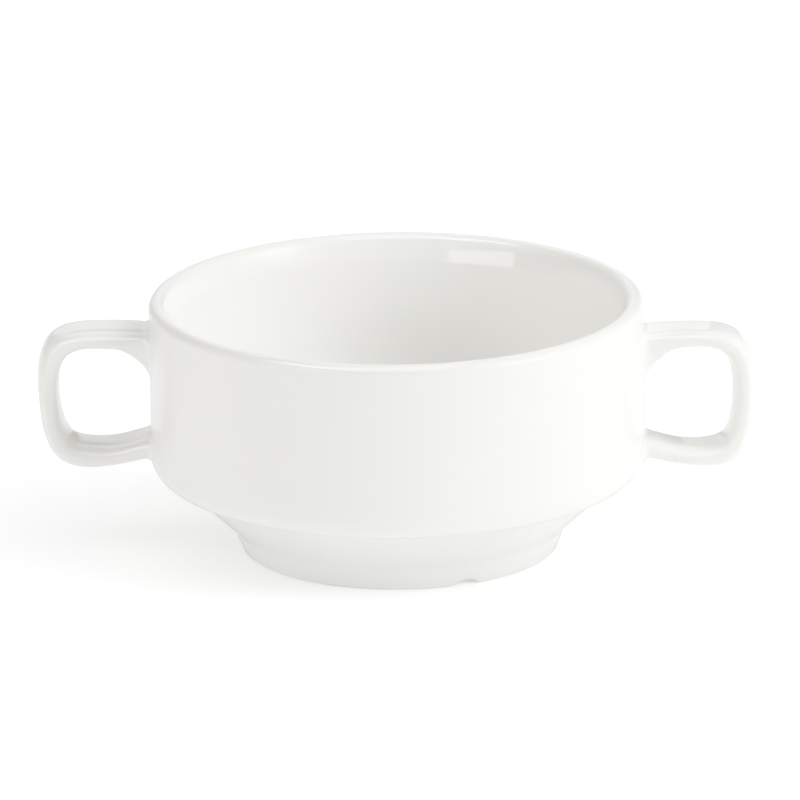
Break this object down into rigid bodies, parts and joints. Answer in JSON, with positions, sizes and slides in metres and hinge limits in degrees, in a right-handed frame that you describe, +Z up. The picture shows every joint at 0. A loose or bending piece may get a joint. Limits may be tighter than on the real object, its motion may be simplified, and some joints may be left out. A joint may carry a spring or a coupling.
{
  "type": "soup cup",
  "caption": "White glazed porcelain stacking soup cup: straight-walled round bowl with a rolled lip, flared foot ring with drain notches, and a strap loop handle on each side.",
  "frame": {"origin": "on the cup's axis, in the plane of the foot ring's standing face", "axes": "+Z up along the cup's axis; +X towards the right-hand handle, so the handles lie along X; -Y is the front"},
  "size_m": [0.1596, 0.1104, 0.0568],
  "materials": {
    "porcelain_body": "white porcelain under a clear gloss glaze, bare on the standing face of the foot ring",
    "porcelain_handle": "white porcelain under a clear gloss glaze",
    "slip_joint": "white casting slip, fettled smooth and glazed over with the body"
  },
  "bodies": {
    "root": {"cup_body": "porcelain_body", "handle_left": "porcelain_handle", "handle_right": "porcelain_handle", "slip_joint_left_upper": "slip_joint", "slip_joint_left_lower": "slip_joint", "slip_joint_right_upper": "slip_joint", "slip_joint_right_lower": "slip_joint"}
  },
  "joints": []
}
